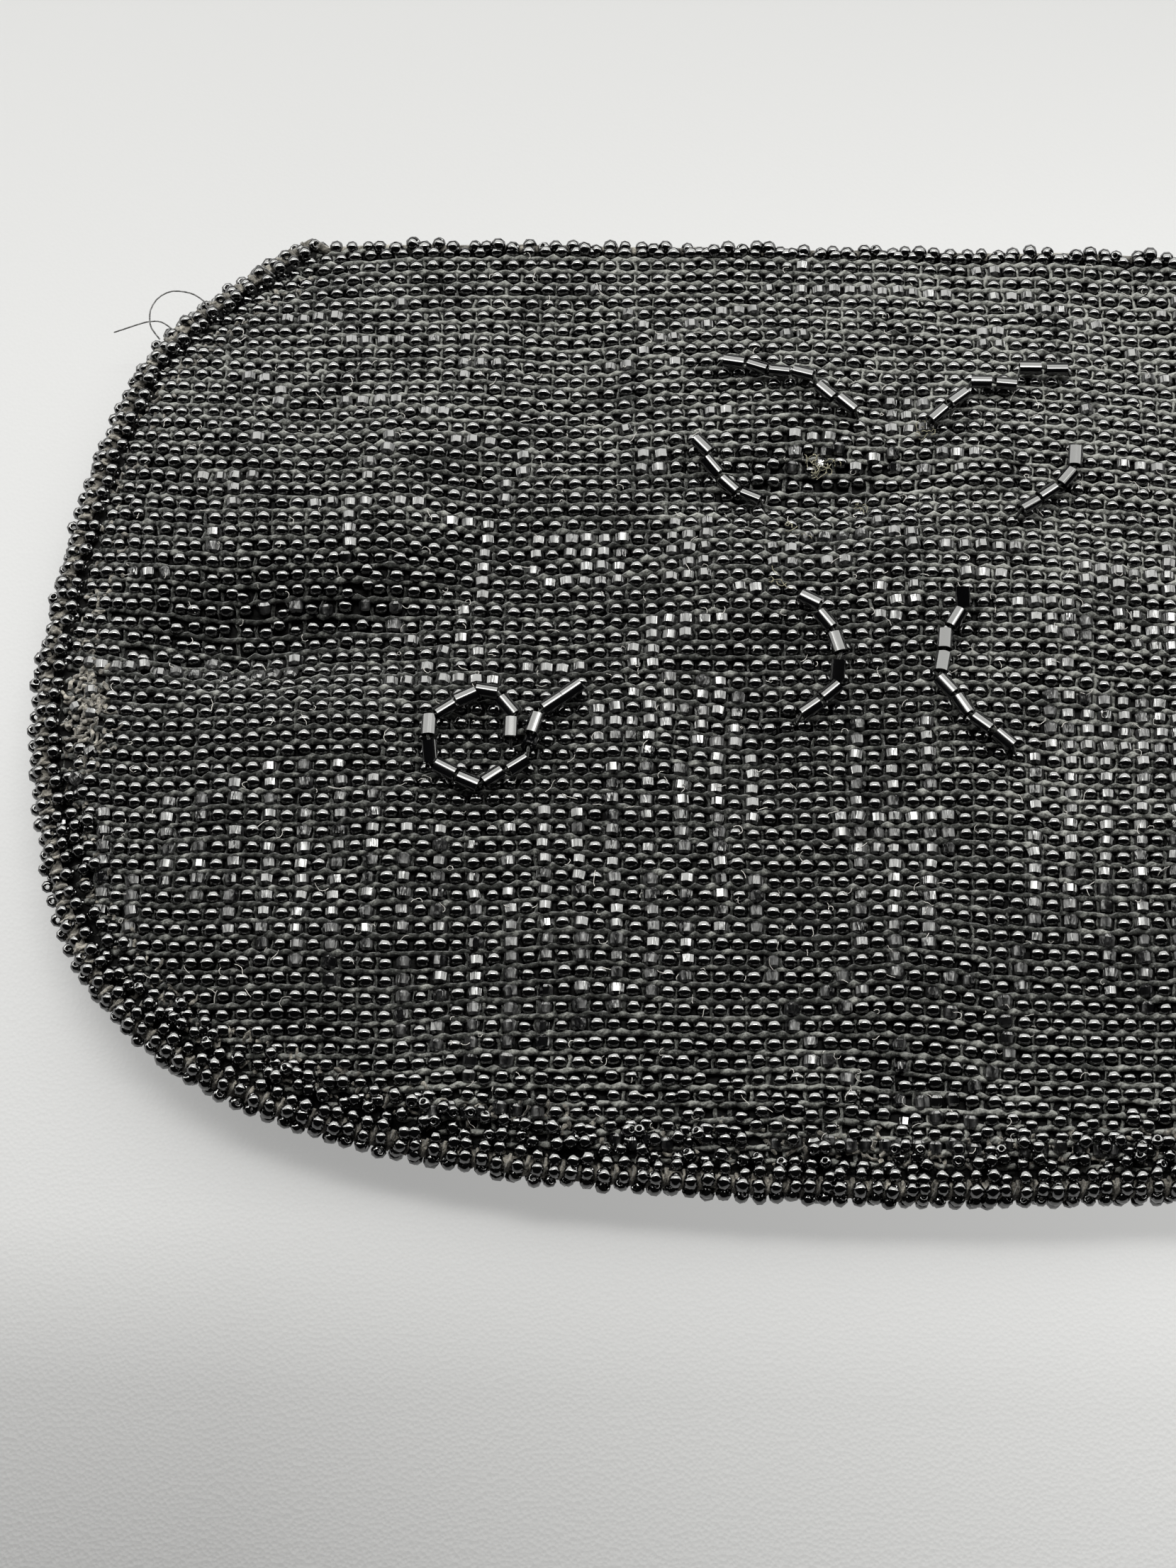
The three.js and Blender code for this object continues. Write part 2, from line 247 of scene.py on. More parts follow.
def quads(across, up):
    """The faces of a grid of points, row by row."""
    n = across + 1
    pairs = [(r * n + c, (r + 1) * n + c) for r in range(up) for c in range(across)]
    return [(low, low + 1, high + 1, high) for low, high in pairs]


def finished(name, mesh):
    """A finished piece: an object at the origin, with its place in its mesh."""
    piece = bpy.data.objects.new(name, mesh)
    scene.collection.objects.link(piece)
    return piece


def applied(piece):
    """The piece with its modifiers worked into a plain mesh."""
    depsgraph = bpy.context.evaluated_depsgraph_get()
    mesh = bpy.data.meshes.new_from_object(
        piece.evaluated_get(depsgraph), preserve_all_data_layers=True, depsgraph=depsgraph
    )
    name, old = piece.name, piece.data
    bpy.data.objects.remove(piece)
    bpy.data.meshes.remove(old)
    mesh.name = name
    return finished(name, mesh)


def cloth_wall(name, height, across, up, depth, outward, material):
    """A wall of crochet cloth, its outer face that deep under the bead tops, and less so at the seam."""
    points, normals = panel_grid(height, across, up)
    s, v = np.meshgrid(np.linspace(-1, 1, across + 1), np.linspace(0, 1, up + 1))
    sunk = depth * (0.1 + 0.9 * np.clip(swell(s, v, 1.0) / 0.3, 0, 1))[..., None]
    ground = (points - outward * normals * sunk) * MM
    faces = quads(across, up)
    if outward < 0:
        faces = [face[::-1] for face in faces]
    mesh = bpy.data.meshes.new(name)
    mesh.from_pydata(ground.reshape(-1, 3).tolist(), [], faces)
    mesh.shade_smooth()
    mesh.materials.append(material)
    wall = finished(name, mesh)
    thick = wall.modifiers.new("thickness", "SOLIDIFY")
    thick.thickness = CLOTH_THICKNESS * MM
    thick.offset = -1
    return applied(wall)


# The crochet is black cotton, darkened further as painted shade: it shows in the gaps between the beads and
# the yarn rows, where shade falls.
black_crochet, tree, shader, place = new_material("black_crochet", Roughness=0.95, Specular_IOR_Level=0.2)
fibre = node(tree, "ShaderNodeTexNoise", Vector=place, Scale=2600, Detail=3).outputs["Fac"]
crochet_painted_shade = shades(tree, fibre, [(0.0, (0.0006, 0.0006, 0.0006)), (1.0, (0.006, 0.006, 0.0057))])
connect(tree, shader, Base_Color=crochet_painted_shade)
relief(tree, shader, fibre, 0.6, 0.0003)

front_cloth = cloth_wall(
    "front_cloth", front_height, across=140, up=90, depth=FRONT_DEPTH, outward=1, material=black_crochet
)
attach(front_cloth, "root")
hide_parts("front_panel")

# Front yarn rows
# Between two rows of beads the crochet stands up as a ridge of charcoal cotton yarn, and a thinner strand
# of it climbs between the columns. It is thicker and paler where the stitches cross, and slightly fuzzy.
COLUMN_PITCH, ROW_PITCH = 2.19, 2.10
YARN_DEPTH, YARN_RADIUS, LINK_RADIUS = 1.02, 0.40, 0.31
GRID_ACROSS, GRID_UP = 260, 160
HALF_WIDTH, PANEL_LENGTH, CLEAR_HEIGHT = 105, 128, 40
SIDE_REACH, MOUTH_REACH = 110, 66
YARN_INSET = 0.8


def panel_tree(height):
    """The bead tops of a panel, to drop points on."""
    points, _ = panel_grid(height, GRID_ACROSS, GRID_UP)
    return BVHTree.FromPolygons(points.reshape(-1, 3).tolist(), quads(GRID_ACROSS, GRID_UP))


def drop(tree, x, y, inset=0.0, above=True):
    """Where a line straight down (or up) meets the bead tops, and the normal there; None near the edge."""
    way = -1 if above else 1
    spot, normal, face, _ = tree.ray_cast(Vector((x, y, -way * CLEAR_HEIGHT)), Vector((0, 0, way)))
    if spot is None:
        return None
    row, column = divmod(face, GRID_ACROSS)
    s, v = abs((column + 0.5) / (GRID_ACROSS / 2) - 1), (row + 0.5) / GRID_UP
    near_side = (1 - s) * HALF_WIDTH < inset
    near_base, near_mouth = v * PANEL_LENGTH < inset, (1 - v) * PANEL_LENGTH < 0.6 * inset
    if near_side or near_base or near_mouth:
        return None
    if (normal.z > 0) != above:
        normal = -normal
    return spot, normal


def paced(tree, pitch, reach, along_x, cross, above=True):
    """Places along a panel, from its middle outwards, that keep their pitch on its slopes."""
    probe, steepest = 0.8, 1.4
    places = [0.0]
    for way in (1, -1):
        p = 0.0
        while abs(p) < reach:
            pair = [(q, cross) if along_x else (cross, q) for q in (p, p + way * probe)]
            ends = [drop(tree, x, y, above=above) for x, y in pair]
            slope = (ends[1][0].z - ends[0][0].z) / probe if all(ends) else 1.0
            p += way * pitch / math.hypot(1, min(abs(slope), steepest))
            places.append(p)
    return sorted(places)


def row_sway(x, y):
    """How far a row of beads strays from its straight line: rows arch up in the middle and waver a little."""
    inside = np.clip((y + 62) / 16, 0, 1) * np.clip((66 - y) / 14, 0, 1)
    arch = 1.7 * np.exp(-(((x + 2) / 33) ** 2)) + 0.5 * np.exp(-(((x + 62) / 14) ** 2))
    side = 4.0 * np.clip((np.abs(x) - 58) / 49, 0, 1) ** 3
    waver = 0.5 * np.sin(x / 15 + y / 19) + 0.32 * np.sin(x / 6.5 - y / 27) + 0.14 * np.sin(x / 3.1 + y / 8)
    return inside * (arch + side - 0.6 + waver)


def column_sway(x, y):
    """How far a column of beads strays sideways."""
    return 0.45 * np.sin(y / 14 + x / 31) + 0.22 * np.sin(y / 5 - x / 13)


def yarn_paling(x, y):
    """The yarn is paler towards the mouth, dustier towards the base, and a little paler towards the right,
    where the paling is painted light.
    """
    mouth_side = 0.65 * np.clip((y - 5) / 40, 0, 1) * np.clip(1 + (x + 40) / 200, 0.8, 1)
    # Painted light: the yarn is paler towards the right, where the light falls brighter.
    painted_light_right = np.clip((x + 10) / 30, 0, 1) * np.clip((y + 40) / 30, 0.3, 1)
    base_side = np.clip((-44 - y) / 12, 0, 1)
    return mouth_side + 0.55 * painted_light_right + 0.6 * base_side


front_tree = panel_tree(front_height)
columns = paced(front_tree, COLUMN_PITCH, SIDE_REACH, along_x=True, cross=-30)
rows = paced(front_tree, ROW_PITCH, MOUTH_REACH, along_x=False, cross=62)
axis_column = columns.index(0.0)


def new_tree(name, sockets):
    """An empty Geometry Nodes tree with these named inputs, and the outputs of its input node."""
    tree = bpy.data.node_groups.new(name, "GeometryNodeTree")
    tree.interface.new_socket("Geometry", in_out="INPUT", socket_type="NodeSocketGeometry")
    for label, kind in sockets:
        tree.interface.new_socket(label, in_out="INPUT", socket_type="NodeSocket" + kind)
    tree.interface.new_socket("Geometry", in_out="OUTPUT", socket_type="NodeSocketGeometry")
    return tree, tree.nodes.new("NodeGroupInput").outputs


def close_tree(tree, geometry, material):
    """Ends a tree: copies made real, and dressed in their material."""
    whole = node(tree, "GeometryNodeRealizeInstances", Geometry=geometry)
    dressed = node(tree, "GeometryNodeSetMaterial", Geometry=whole.outputs[0], Material=material)
    tree.links.new(dressed.outputs[0], tree.nodes.new("NodeGroupOutput").inputs[0])


def attribute(tree, name, kind):
    """A value that each point carries, for a Geometry Nodes tree."""
    named = node(tree, "GeometryNodeInputNamedAttribute", Name=name)
    named.data_type = kind
    return named.outputs[0]


def carried(tree, name):
    """A value that each point carries, for a material."""
    value = node(tree, "ShaderNodeAttribute")
    value.attribute_name = name
    return value.outputs["Fac"]


def grown(name, points, edges, attributes, tree, settings):
    """Points and edges in mm, worked by a tree into a plain mesh piece."""
    mesh = bpy.data.meshes.new(name)
    mesh.from_pydata((np.asarray(points) * MM).tolist(), edges, [])
    for label, (kind, values) in attributes.items():
        layer = mesh.attributes.new(label, kind, "POINT")
        layer.data.foreach_set("value" if kind == "FLOAT" else "vector", np.asarray(values, float).ravel())
    start = finished(name, mesh)
    work = start.modifiers.new("work", "NODES")
    work.node_group = tree
    for item in tree.interface.items_tree:
        if item.in_out == "INPUT" and item.name in settings:
            work[item.identifier] = settings[item.name]
    piece = applied(start)
    for spent in ("turn", "size", "thick"):
        if spent in piece.data.attributes:
            piece.data.attributes.remove(piece.data.attributes[spent])
    return piece


# The spinning tree: every run of joined edges becomes a round strand, as thick as its points say.
spinning, given = new_tree("spinning", [("Radius", "Float"), ("Sides", "Int"), ("Material", "Material")])
runs = node(spinning, "GeometryNodeMeshToCurve", Mesh=given["Geometry"])
ring = node(spinning, "GeometryNodeCurvePrimitiveCircle", Resolution=given["Sides"], Radius=given["Radius"])
strand = node(
    spinning, "GeometryNodeCurveToMesh", Curve=runs.outputs[0], Profile_Curve=ring.outputs[0],
    Scale=attribute(spinning, "thick", "FLOAT"), Fill_Caps=True,
)
smooth = node(spinning, "GeometryNodeSetShadeSmooth", Geometry=strand.outputs[0])
close_tree(spinning, smooth.outputs[0], given["Material"])


def strands(name, lines, radius, sides, material, thick=None, cross=None):
    """Round strands along lines of points, in mm."""
    points, edges, widths, crossings = [], [], [], []
    for k, line in enumerate(lines):
        first = len(points)
        points.extend(line)
        edges.extend((first + i, first + i + 1) for i in range(len(line) - 1))
        widths.extend(thick[k] if thick else [1.0] * len(line))
        crossings.extend(cross[k] if cross else [0.0] * len(line))
    return grown(
        name, points, edges, {"thick": ("FLOAT", widths), "cross": ("FLOAT", crossings)}, spinning,
        {"Radius": radius * MM, "Sides": sides, "Material": material},
    )


def yarn_material(name, dark, pale, speck):
    """Fuzzy cotton: dark in the run of the strand, paler where it crosses, with single pale fibres."""
    material, tree, shader, place = new_material(
        name, Roughness=0.92, Specular_IOR_Level=0.2, Sheen_Weight=0.25, Sheen_Roughness=0.4
    )
    fuzz = node(tree, "ShaderNodeTexNoise", Vector=place, Scale=2300, Detail=4, Roughness=0.75).outputs["Fac"]
    patches = node(tree, "ShaderNodeTexNoise", Vector=place, Scale=160, Detail=3).outputs["Fac"]
    wear = node(tree, "ShaderNodeMapRange", Value=patches, From_Min=0.25, From_Max=0.70).outputs["Result"]
    # The points' cross value holds the crossings and the yarn's paling, part of which is painted light.
    spread = node(tree, "ShaderNodeMath", carried(tree, "cross"), wear, operation="MULTIPLY").outputs["Value"]
    paleness = node(tree, "ShaderNodeMath", spread, 0.7, fuzz, operation="MULTIPLY_ADD").outputs["Value"]
    connect(tree, shader, Base_Color=shades(tree, paleness, [(0.34, dark), (0.60, pale), (1.0, speck)]))
    slope = node(tree, "ShaderNodeMapping", Vector=place, Rotation=(0, 0, 0.62)).outputs["Vector"]
    plies = node(tree, "ShaderNodeTexWave", Vector=slope, Scale=330, Distortion=2.5, Detail_Scale=3)
    height = node(tree, "ShaderNodeMath", plies.outputs["Fac"], fuzz).outputs["Value"]
    relief(tree, shader, height, 0.9, 0.0003)
    return material


charcoal_yarn = yarn_material(
    "charcoal_yarn", (0.0016, 0.0018, 0.0016), (0.0218, 0.0231, 0.0209), (0.215, 0.218, 0.203)
)

dice = np.random.default_rng(11)
yarn_lines, yarn_thick, yarn_cross = [], [], []
half_columns = sorted(columns + [(a + b) / 2 for a, b in zip(columns, columns[1:])])
for low, high in zip(rows, rows[1:]):
    line, thick, cross = [], [], []
    for k, x in enumerate(half_columns):
        between = k % 2
        y = (low + high) / 2
        found = drop(front_tree, x, y + row_sway(x, y) + dice.uniform(-0.16, 0.16), YARN_INSET)
        if found:
            spot, normal = found
            depth = YARN_DEPTH - (0.22 if between else -0.05) + dice.uniform(-0.14, 0.14)
            line.append(spot - normal * depth)
            thick.append((1.2 if between else 0.82) * dice.uniform(0.65, 1.3))
            cross.append(yarn_paling(x, y) + (dice.uniform(0.0, 0.9) if between else 0.0))
    if len(line) > 3:
        yarn_lines.append(line)
        yarn_thick.append(thick)
        yarn_cross.append(cross)
front_yarn = strands("front_yarn", yarn_lines, YARN_RADIUS, 4, charcoal_yarn, yarn_thick, yarn_cross)
link_lines, link_thick, link_cross = [], [], []
for low, high in zip(columns, columns[1:]):
    for y in rows:
        if dice.random() < 0.22:
            continue
        x = (low + high) / 2 + column_sway((low + high) / 2, y) + dice.uniform(-0.2, 0.2)
        height = y + row_sway(x, y)
        ends = [
            drop(front_tree, x + dice.uniform(-0.3, 0.3), height + step, YARN_INSET)
            for step in (-1.0, 0.0, 1.0)
        ]
        if all(ends):
            link_lines.append([spot - normal * dice.uniform(0.95, 1.3) for spot, normal in ends])
            link_thick.append(list(dice.uniform(0.6, 1.4, 3)))
            link_cross.append(list(0.9 * yarn_paling(x, y) + dice.uniform(0.0, 0.2, 3)))
front_links = strands("front_links", link_lines, LINK_RADIUS, 3, charcoal_yarn, link_thick, link_cross)
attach(front_links, "root")
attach(front_yarn, "root")

# Front beads
# Round black glass seed beads worked into the cloth one by one in straight columns, their holes running
# towards the mouth. Among them, longer beads with ground flat faces flash grey and draw stripes and leaves.
BEAD_DIAMETER, BEAD_LENGTH = 2.12, 1.42
CUT_DIAMETER, CUT_LENGTH = 1.94, 1.64
ANY_TURN = 3.14
ROUND_TILT, CUT_TILT = (0.21, 0.21, ANY_TURN), (0.13, 0.13, ANY_TURN)
SIDE_MARGIN, WORN_MARGIN, BASE_MARGIN = 4.2, 7.0, 2.8
SIDE_START, SIDE_TOP = 88, 58
STRIPES = [  # column, top, bottom; the right side is alike
    (-46, -18.8, -31.3), (-44, -29.1, -36.5), (-42, -18.4, -31.8), (-40, -18.4, -32.4), (-38, -16.3, -37.7),
    (-36, -14.9, -37.9), (-34, -13.9, -39.4), (-32, -14.2, -44.0), (-30, -16.8, -39.0), (-28, -21.9, -48.6),
    (-26, -22.4, -50.9), (-24, -24.6, -53.4), (-22, -22.5, -51.5), (-20, -20.7, -49.7), (-18, -20.3, -48.2),
    (-16, -14.6, -45.8), (-14, -12.4, -44.3), (-12, -14.4, -41.4), (-10, -12.3, -36.0), (-8, -11.9, -35.9),
    (-2, -8.0, -37.1), (0, -12.1, -38.9),
]
CUT_RUNS = [  # x, y of the first bead, beads across, beads down, step across
    (-81.2, 54.5, 4, 1, 1), (-66.2, 55.7, 1, 1, 1), (-70.3, 50.0, 7, 1, 1), (-72.8, 48.8, 2, 1, 1),
    (-56.3, 46.7, 3, 1, 1), (-56.2, 44.6, 1, 1, 1), (-85.5, 43.0, 2, 1, 1), (-80.2, 40.6, 1, 2, 1),
    (-74.8, 39.5, 5, 1, 1), (-60.7, 37.0, 2, 1, 1), (-65.4, 34.1, 1, 2, 1), (-82.0, 32.9, 1, 1, 1),
    (-55.8, 33.9, 3, 1, 1), (-67.4, 29.2, 1, 2, 1), (-88.8, 28.3, 2, 1, 1), (-84.4, 27.4, 2, 1, 1),
    (-86.3, 25.7, 1, 2, 1), (-74.1, 23.9, 7, 1, 1), (-69.5, 21.5, 1, 4, 1), (-57.8, 21.4, 3, 1, 1),
    (-50.8, 26.4, 1, 2, 1), (-48.4, 31.0, 1, 2, 1), (-88.4, 18.7, 1, 2, 1), (-102.4, 15.8, 5, 1, 1),
    (-105.0, 14.4, 1, 2, 1), (-53.0, 19.3, 1, 6, 1), (-46.8, 18.9, 4, 4, 1), (-79.9, 9.1, 7, 1, 2),
    (-63.4, 5.9, 1, 1, 1), (-61.9, 4.2, 1, 1, 1), (-55.0, 5.1, 1, 1, 1), (-56.9, 3.1, 1, 1, 1),
    (-86.5, 2.7, 1, 1, 1), (-77.0, 2.4, 1, 1, 1), (-59.0, 1.1, 1, 1, 1), (-52.2, 1.9, 1, 1, 1),
    (-105.9, 2.0, 15, 1, 1), (-63.1, -1.1, 7, 1, 1), (-46.0, -0.7, 4, 1, 1), (-15.3, 59.5, 12, 1, 1),
    (-38.5, 57.6, 1, 1, 1), (-35.6, 54.8, 1, 1, 1), (-33.3, 52.6, 1, 1, 1), (-26.3, 52.7, 2, 1, 1),
    (-22.2, 56.0, 3, 1, 1), (-31.2, 50.7, 2, 1, 1), (-33.2, 47.4, 1, 1, 1), (-28.6, 47.5, 1, 1, 1),
    (-37.7, 45.1, 2, 1, 1), (-10.3, 62.3, 1, 1, 1), (-13.0, 52.1, 2, 1, 1), (12.7, 61.8, 2, 1, 1),
    (14.9, 59.1, 3, 1, 1), (19.2, 56.0, 3, 1, 1), (26.2, 53.3, 2, 1, 1), (32.2, 50.5, 1, 1, 1),
    (12.6, 51.7, 2, 2, 1), (36.1, 55.7, 2, 1, 1), (-24.5, 38.2, 2, 1, 1), (-35.3, 35.4, 1, 1, 1),
    (-33.2, 30.6, 2, 2, 1), (-0.7, 41.4, 3, 2, 1), (-12.9, 35.3, 3, 1, 1), (-1.0, 35.9, 3, 1, 1),
    (-15.1, 32.7, 5, 1, 1), (-1.6, 32.8, 2, 1, 1), (6.2, 32.8, 3, 1, 1), (-12.4, 29.6, 6, 1, 2),
    (30.8, 30.8, 3, 1, 1), (25.6, 40.8, 1, 1, 1), (-29.1, 21.2, 3, 5, 1), (-37.7, 19.0, 2, 4, 1),
    (-15.5, 17.0, 2, 2, 1), (-11.0, 20.3, 4, 1, 1), (-2.5, 23.2, 3, 3, 1), (4.2, 17.7, 6, 1, 1),
    (-8.6, 15.4, 2, 1, 1), (8.6, 14.9, 3, 1, 1), (23.8, 15.5, 6, 2, 1), (-2.3, 10.9, 3, 3, 1),
    (-20.4, 10.3, 2, 1, 1), (-32.9, 7.1, 6, 2, 1), (16.3, 10.8, 4, 1, 1), (17.2, 8.3, 4, 2, 1),
    (27.9, 7.7, 4, 3, 1), (20.1, 1.6, 2, 1, 1), (-33.3, 1.6, 2, 2, 1), (-28.9, -1.3, 5, 1, 1),
    (-33.4, -4.0, 7, 1, 1), (18.8, -2.6, 8, 5, 1), (-62.8, -57.5, 10, 1, 1), (-38.2, -5.7, 9, 3, 1),
    (-16.2, -39.7, 1, 2, 1), (-13.8, -45.4, 1, 2, 1), (-11.7, -49.1, 1, 1, 1), (-10.7, -51.3, 1, 1, 1),
    (-8.4, -52.4, 1, 1, 1), (-5.6, -54.4, 1, 1, 1), (15.8, -38.1, 1, 3, 1), (14.0, -44.3, 1, 2, 1),
    (12.3, -48.0, 1, 2, 1), (10.5, -51.5, 1, 1, 1), (8.2, -53.4, 1, 1, 1), (-7.2, -21.2, 7, 3, 1),
    (-6.8, -41.0, 1, 1, 1), (-0.5, -40.8, 1, 1, 1), (6.6, -40.7, 1, 1, 1), (-8.9, -43.1, 1, 1, 1),
    (-4.4, -43.1, 1, 1, 1), (4.7, -42.4, 1, 1, 1), (9.6, -42.3, 1, 1, 1), (-6.5, -45.0, 1, 1, 1),
    (7.0, -44.7, 1, 1, 1), (0.7, -48.3, 1, 2, 1), (-3.0, -56.6, 5, 1, 1), (-0.4, -58.6, 3, 1, 2),
    (-35.2, -61.5, 4, 1, 1), (-16.4, -61.1, 20, 1, 1),
]
STRAYS = [  # x, y of single cut beads in the worn place at the left side
    (-104.5, -4.6), (-102.2, -5.8), (-102.6, -2.4), (-102.0, -11.2), (-103.8, -14.6), (-105.1, -20.4),
]
WORN = [  # x, y, half length, half width of places where the beads have worked out of line
    (-84, 7, 18, 5), (-94, 2, 9, 6), (-6, 29, 17, 5), (-70, 12, 10, 4), (-100, 25, 7, 14), (0, -58, 90, 5),
]

dice = np.random.default_rng(23)
row_places, column_places = np.array(rows), np.array(columns)


def bead_row(x, y):
    """The row of beads nearest to a spot."""
    return int(np.argmin(np.abs(row_places + row_sway(x, row_places) - y)))


cut_places = set()
for column, top, bottom in STRIPES:
    for side in {column, -column}:
        x = columns[axis_column + side] if 0 <= axis_column + side < len(columns) else SIDE_REACH
        for r in range(bead_row(x, bottom), bead_row(x, top) + 1):
            if dice.random() < 0.9:
                cut_places.add((axis_column + side, r))
for x, y, across, down, step in CUT_RUNS:
    fill = 0.75 if across > 2 and down > 1 else 0.85 if across > 4 else 1.0
    for way in (1, -1) if x < -37 else (1,):
        c, r = int(np.argmin(np.abs(column_places - way * x))), bead_row(x, y)
        for i in range(across):
            for k in range(down):
                if dice.random() < fill:
                    cut_places.add((c + way * i * step, r - k))


def turned_bead(name, rings, sides, smooth=True, drilled=False):
    """A bead of unit diameter and length, round its hole along z, from rings of (z, radius)."""
    points, faces = [], []
    for z, radius in rings:
        for k in range(sides):
            angle = 2 * math.pi * (k + 0.5) / sides
            points.append((radius * math.cos(angle), radius * math.sin(angle), z))
    for r in range(len(rings) if drilled else len(rings) - 1):
        for k in range(sides):
            n, m = (k + 1) % sides, (r + 1) % len(rings)
            faces.append((r * sides + k, r * sides + n, m * sides + n, m * sides + k))
    if not drilled:
        faces.append(tuple(range(sides))[::-1])
        faces.append(tuple((len(rings) - 1) * sides + k for k in range(sides)))
    mesh = bpy.data.meshes.new(name)
    mesh.from_pydata(points, [], faces)
    if smooth:
        mesh.shade_smooth()
    else:
        mesh.shade_flat()
    return finished(name, mesh)


def streaked(shape, sides, share, seed):
    """Dulls a share of the sides of a shape, so that it reflects in streaks along its hole."""
    dull = np.random.default_rng(seed).random(sides) < share
    streak = np.tile(dull, len(shape.data.vertices) // sides).astype(float)
    shape.data.attributes.new("streak", "FLOAT", "POINT").data.foreach_set("value", streak)


# The stringing tree: one bead on each point, turned as the point says and a little by chance.
stringing, given = new_tree("stringing", [
    ("Bead", "Object"), ("Size Spread", "Float"), ("Tilt", "Vector"), ("Seed", "Int"),
    ("Material", "Material"),
])
model = node(stringing, "GeometryNodeObjectInfo", Object=given["Bead"], As_Instance=True)
laid = node(stringing, "FunctionNodeEulerToRotation", Euler=attribute(stringing, "turn", "FLOAT_VECTOR"))
other_way = node(stringing, "ShaderNodeVectorMath", given["Tilt"], Scale=-1, operation="SCALE")
chance = node(stringing, "FunctionNodeRandomValue", Seed=given["Seed"])
chance.data_type = "FLOAT_VECTOR"
connect(stringing, chance, other_way.outputs[0], given["Tilt"])
tilted = node(stringing, "FunctionNodeEulerToRotation", Euler=chance.outputs[0])
both = node(stringing, "FunctionNodeRotateRotation", Rotation=laid.outputs[0], Rotate_By=tilted.outputs[0])
both.rotation_space = "LOCAL"
least = node(stringing, "ShaderNodeMath", 1, given["Size Spread"], operation="SUBTRACT")
most = node(stringing, "ShaderNodeMath", 1, given["Size Spread"])
spread = node(stringing, "FunctionNodeRandomValue", Seed=given["Seed"])
spread.data_type = "FLOAT"
stringing.links.new(least.outputs[0], spread.inputs[2])
stringing.links.new(most.outputs[0], spread.inputs[3])
scaled = node(
    stringing, "ShaderNodeVectorMath", attribute(stringing, "size", "FLOAT_VECTOR"), Scale=spread.outputs[1],
    operation="SCALE",
)
beads = node(
    stringing, "GeometryNodeInstanceOnPoints", Points=given["Geometry"], Instance=model.outputs["Geometry"],
    Rotation=both.outputs[0], Scale=scaled.outputs[0],
)
close_tree(stringing, beads.outputs[0], given["Material"])


def beading(name, places, bead, size, material, seed, size_spread, tilt):
    """Beads at places of (centre in mm, way of the hole, way outward); size: across, (outward,) long."""
    points, turns = [], []
    for centre, hole, outward in places:
        side = outward.cross(hole).normalized()
        points.append(centre)
        turns.append(Matrix((side, hole.cross(side).normalized(), hole.normalized())).transposed().to_euler())
    tones = np.random.default_rng(seed).random(len(points))
    sizes = np.tile(np.array([size[0], size[-2], size[-1]]) * MM, (len(points), 1))
    carries = {
        "turn": ("FLOAT_VECTOR", turns), "size": ("FLOAT_VECTOR", sizes), "tone": ("FLOAT", tones),
    }
    settings = {"Bead": bead, "Size Spread": size_spread, "Tilt": tilt, "Seed": seed, "Material": material}
    return grown(name, points, [], carries, stringing, settings)


def glass_material(name, colour, dusty, smoothest, roughest, dust, shine, ripple=0.0):
    """Black glass: beads of unlike polish, some sides dulled, with dust in specks and drawn ripples."""
    material, tree, shader, place = new_material(name, IOR=1.62, Specular_IOR_Level=shine)
    film = node(tree, "ShaderNodeTexNoise", Vector=place, Scale=1500, Detail=4, Roughness=0.7).outputs["Fac"]
    specks = shades(tree, film, [(1 - dust, colour), (min(1, 1.25 - dust), dusty)])
    polish = node(tree, "ShaderNodeMapRange", Value=carried(tree, "tone"), To_Min=smoothest, To_Max=roughest)
    streak = carried(tree, "streak")
    dulled = node(tree, "ShaderNodeMath", streak, 0.3, polish.outputs["Result"], operation="MULTIPLY_ADD")
    connect(tree, shader, Base_Color=specks, Roughness=dulled.outputs["Value"])
    if ripple:
        drawn = node(tree, "ShaderNodeMapping", Vector=place, Scale=(1.0, 0.12, 1.0)).outputs["Vector"]
        waves = node(tree, "ShaderNodeTexNoise", Vector=drawn, Scale=2200).outputs["Fac"]
        relief(tree, shader, waves, ripple, 0.0004)
    return material


black_glass = glass_material(
    "black_glass", (0.0004, 0.0004, 0.0005), (0.02, 0.02, 0.019), 0.04, 0.13, dust=0.34, shine=0.98
)
cut_glass = glass_material(
    "cut_glass", (0.001, 0.001, 0.0012), (0.02, 0.02, 0.019), 0.1, 0.26, dust=0.36, shine=0.95, ripple=0.5
)

CUT_SIDES = 8
round_bead = turned_bead("round_bead", [(-0.5, 0.28), (-0.27, 0.47), (0.27, 0.47), (0.5, 0.28)], 9)
cut_bead = turned_bead(
    "cut_bead", [(-0.5, 0.33), (-0.3, 0.485), (0.3, 0.5), (0.5, 0.34)], CUT_SIDES, smooth=False
)
streaked(cut_bead, CUT_SIDES, share=0.4, seed=10)


def worn_at(x, y):
    """How far the beads have worked out of line here, from 0 to 1."""
    return max(
        math.exp(-(((x - px) / along) ** 2) - ((y - py) / wide) ** 2) for px, py, along, wide in WORN
    )


def in_frayed_side(x, y):
    """Whether a spot is at the height of the frayed place on the left side."""
    return x < 0 and -12 < y < 0


def towards_mouth(normal):
    """The way of a hole that points to the mouth along the cloth."""
    return (Vector((0.0, 1.0, 0.0)) - normal * normal.y).normalized()


